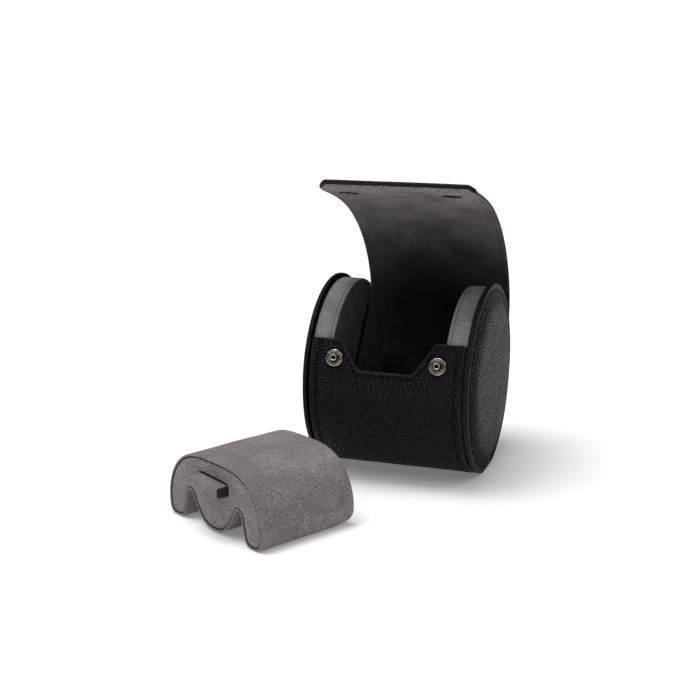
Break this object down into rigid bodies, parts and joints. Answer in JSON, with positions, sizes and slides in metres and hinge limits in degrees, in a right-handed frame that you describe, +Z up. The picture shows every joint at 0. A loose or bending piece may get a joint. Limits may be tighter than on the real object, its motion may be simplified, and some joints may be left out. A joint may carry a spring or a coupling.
{
  "type": "watch travel case",
  "caption": "Drum-shaped watch travel case with a flexible flap lid on two snaps, padded end caps and a lift-out watch cushion.",
  "frame": {"origin": "middle of the drum's flattened underside, on the table", "axes": "+X along the drum axis to the right, -Y towards the snap studs, +Y towards the lid hinge, +Z up"},
  "size_m": [0.1368, 0.2093, 0.1518],
  "materials": {
    "snap_metal": "bright nickel",
    "plain_metal": "plain",
    "pebbled_leather": "pebbled",
    "rim_leather": "pebbled",
    "panel_leather": "pebbled, padded",
    "welt_leather": "smooth",
    "board": "grey board",
    "disc_board": "laminated board",
    "foam": "soft foam",
    "cushion_foam": "firm foam",
    "cushion_suede": "microsuede",
    "disc_suede": "microsuede",
    "lining_suede": "microsuede"
  },
  "bodies": {
    "drum": {"wrap_leather": "pebbled_leather", "wrap_board": "board", "wrap_lining": "lining_suede", "snap_studs": "snap_metal", "stud_eyelets": "plain_metal", "disc_core_left": "disc_board", "disc_core_right": "disc_board", "disc_face_left": "disc_suede", "disc_face_right": "disc_suede", "disc_band_left": "disc_suede", "disc_band_right": "disc_suede", "cap_board_left": "board", "cap_board_right": "board", "cap_rim_left": "rim_leather", "cap_rim_right": "rim_leather", "cap_welt_left": "welt_leather", "cap_welt_right": "welt_leather", "cap_pad_left": "foam", "cap_pad_right": "foam", "cap_panel_left": "panel_leather", "cap_panel_right": "panel_leather"},
    "lid_1": {"lid_leather_1": "pebbled_leather", "lid_board_1": "board", "lid_lining_1": "lining_suede"},
    "lid_2": {"lid_leather_2": "pebbled_leather", "lid_board_2": "board", "lid_lining_2": "lining_suede"},
    "lid_3": {"lid_leather_3": "pebbled_leather", "lid_board_3": "board", "lid_lining_3": "lining_suede"},
    "lid_4": {"lid_leather_4": "pebbled_leather", "lid_board_4": "board", "lid_lining_4": "lining_suede"},
    "lid_5": {"lid_leather_5": "pebbled_leather", "lid_board_5": "board", "lid_lining_5": "lining_suede", "snap_sockets": "snap_metal", "socket_springs": "plain_metal", "snap_caps": "snap_metal"},
    "cushion": {"cushion_core": "cushion_foam", "cushion_cover": "cushion_suede", "cushion_end_near": "cushion_suede", "cushion_end_far": "cushion_suede", "cushion_tab_near": "cushion_suede", "cushion_tab_far": "cushion_suede"}
  },
  "joints": [
    {"name": "lid_hinge", "type": "hinge", "parent": "drum", "child": "lid_1", "pos_m": [0, 0.04793, 0.03343], "axis": [1, 0, 0], "range_deg": [-42, 18.8]},
    {"name": "lid_bend_2", "type": "hinge", "parent": "lid_1", "child": "lid_2", "pos_m": [0, 0.0602, 0.06487], "axis": [1, 0, 0], "range_deg": [-19.04, 8.8]},
    {"name": "lid_bend_3", "type": "hinge", "parent": "lid_2", "child": "lid_3", "pos_m": [0, 0.05315, 0.09876], "axis": [1, 0, 0], "range_deg": [-14.57, 6.8]},
    {"name": "lid_bend_4", "type": "hinge", "parent": "lid_3", "child": "lid_4", "pos_m": [0, 0.02939, 0.12393], "axis": [1, 0, 0], "range_deg": [-44.51, 20.2]},
    {"name": "lid_bend_5", "type": "hinge", "parent": "lid_4", "child": "lid_5", "pos_m": [0, -0.00105, 0.14042], "axis": [1, 0, 0], "range_deg": [-61.49, 27.8]},
    {"name": "cushion_lift", "type": "slide", "parent": "drum", "child": "cushion", "axis": [0, 0, 1], "range_m": [0, 0.15]}
  ],
  "couplings": [
    {"joint": "lid_bend_2", "follows": "lid_hinge", "ratio": 0.44149},
    {"joint": "lid_bend_3", "follows": "lid_hinge", "ratio": 0.33511},
    {"joint": "lid_bend_4", "follows": "lid_hinge", "ratio": 1.0479},
    {"joint": "lid_bend_5", "follows": "lid_hinge", "ratio": 1.4521}
  ]
}
